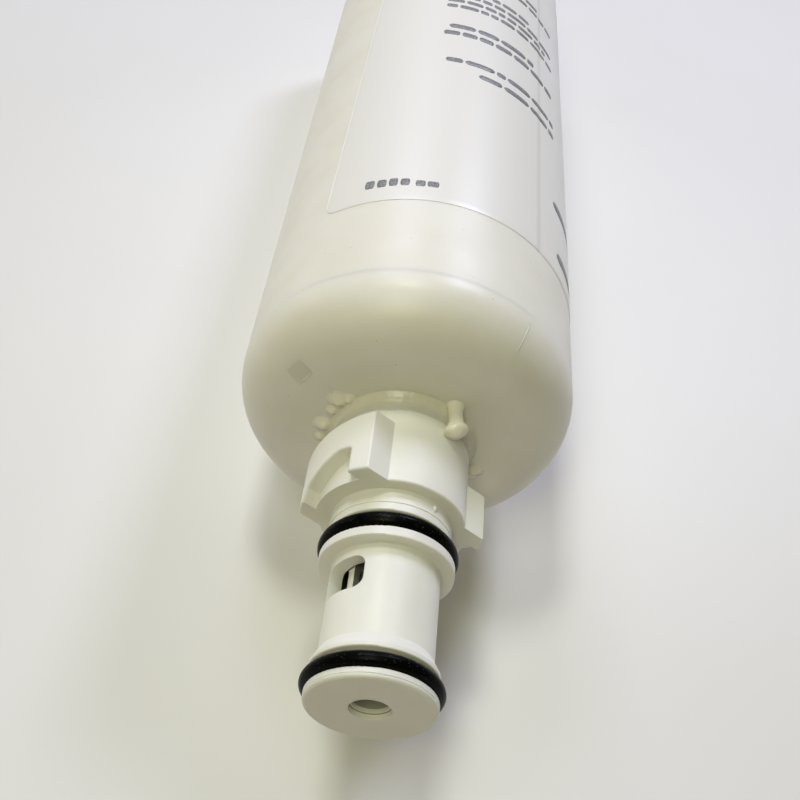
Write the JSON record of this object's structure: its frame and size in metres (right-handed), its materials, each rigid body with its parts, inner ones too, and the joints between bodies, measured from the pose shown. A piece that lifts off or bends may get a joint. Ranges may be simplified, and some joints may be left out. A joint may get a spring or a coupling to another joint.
{
  "type": "fridge water filter cartridge",
  "caption": "Cylindrical refrigerator water filter cartridge: round-shouldered plastic housing, ported spigot with rubber seal rings and a quarter-turn bayonet collar.",
  "frame": {"origin": "centre of the closed end that the cartridge stands on", "axes": "+Z along the cartridge's axis, from the closed end to the spigot's nose; -Y is the side that faces the viewer"},
  "size_m": [0.0572, 0.0574, 0.225],
  "materials": {
    "housing_plastic": "moulded satin ivory polypropylene",
    "spigot_plastic": "moulded satin white polypropylene",
    "seal_rubber": "moulded black nitrile, slightly glossy",
    "cap_plastic": "moulded white polypropylene",
    "filter_carbon": "sintered activated carbon block",
    "filter_fleece": "non-woven white fleece",
    "label_film": "printed white film"
  },
  "bodies": {
    "root": {"housing_barrel": "housing_plastic", "housing_head": "housing_plastic", "bayonet_spigot": "spigot_plastic", "lower_o_ring": "seal_rubber", "upper_o_ring": "seal_rubber", "element_seal": "seal_rubber", "element_top_cap": "cap_plastic", "element_base_cap": "cap_plastic", "carbon_block": "filter_carbon", "prefilter_wrap": "filter_fleece", "wrap_label": "label_film"}
  },
  "joints": []
}
